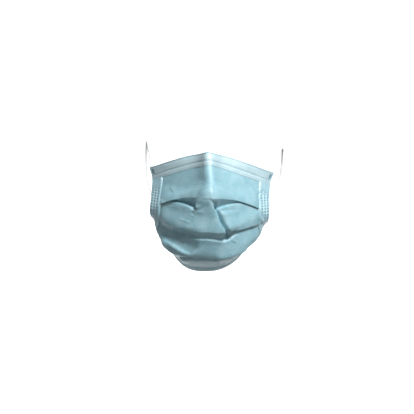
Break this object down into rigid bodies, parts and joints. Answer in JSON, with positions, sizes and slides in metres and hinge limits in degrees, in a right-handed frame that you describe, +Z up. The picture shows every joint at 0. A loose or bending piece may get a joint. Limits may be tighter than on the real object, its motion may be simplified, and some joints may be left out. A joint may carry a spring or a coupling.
{
  "type": "surgical face mask",
  "caption": "Pleated disposable face mask in its worn form, with pleats opened over nose and chin, a nose band, welded side hems and round elastic ear loops.",
  "frame": {"origin": "on the nose bridge, at the middle of the mask's top edge, where the nose band sits", "axes": "+Z up along the wearer's face, -Y out of the mask's outer face, +X to the right of a viewer in front of it"},
  "size_m": [0.148, 0.1435, 0.1328],
  "materials": {
    "blue_nonwoven": "matte",
    "welded_hem": "matte",
    "white_elastic": "matte"
  },
  "bodies": {
    "root": {"mask_body": "blue_nonwoven", "nose_band": "welded_hem", "bottom_hem": "welded_hem", "side_hem_left": "welded_hem", "side_hem_right": "welded_hem", "ear_loop_left": "white_elastic", "ear_loop_right": "white_elastic"}
  },
  "joints": []
}
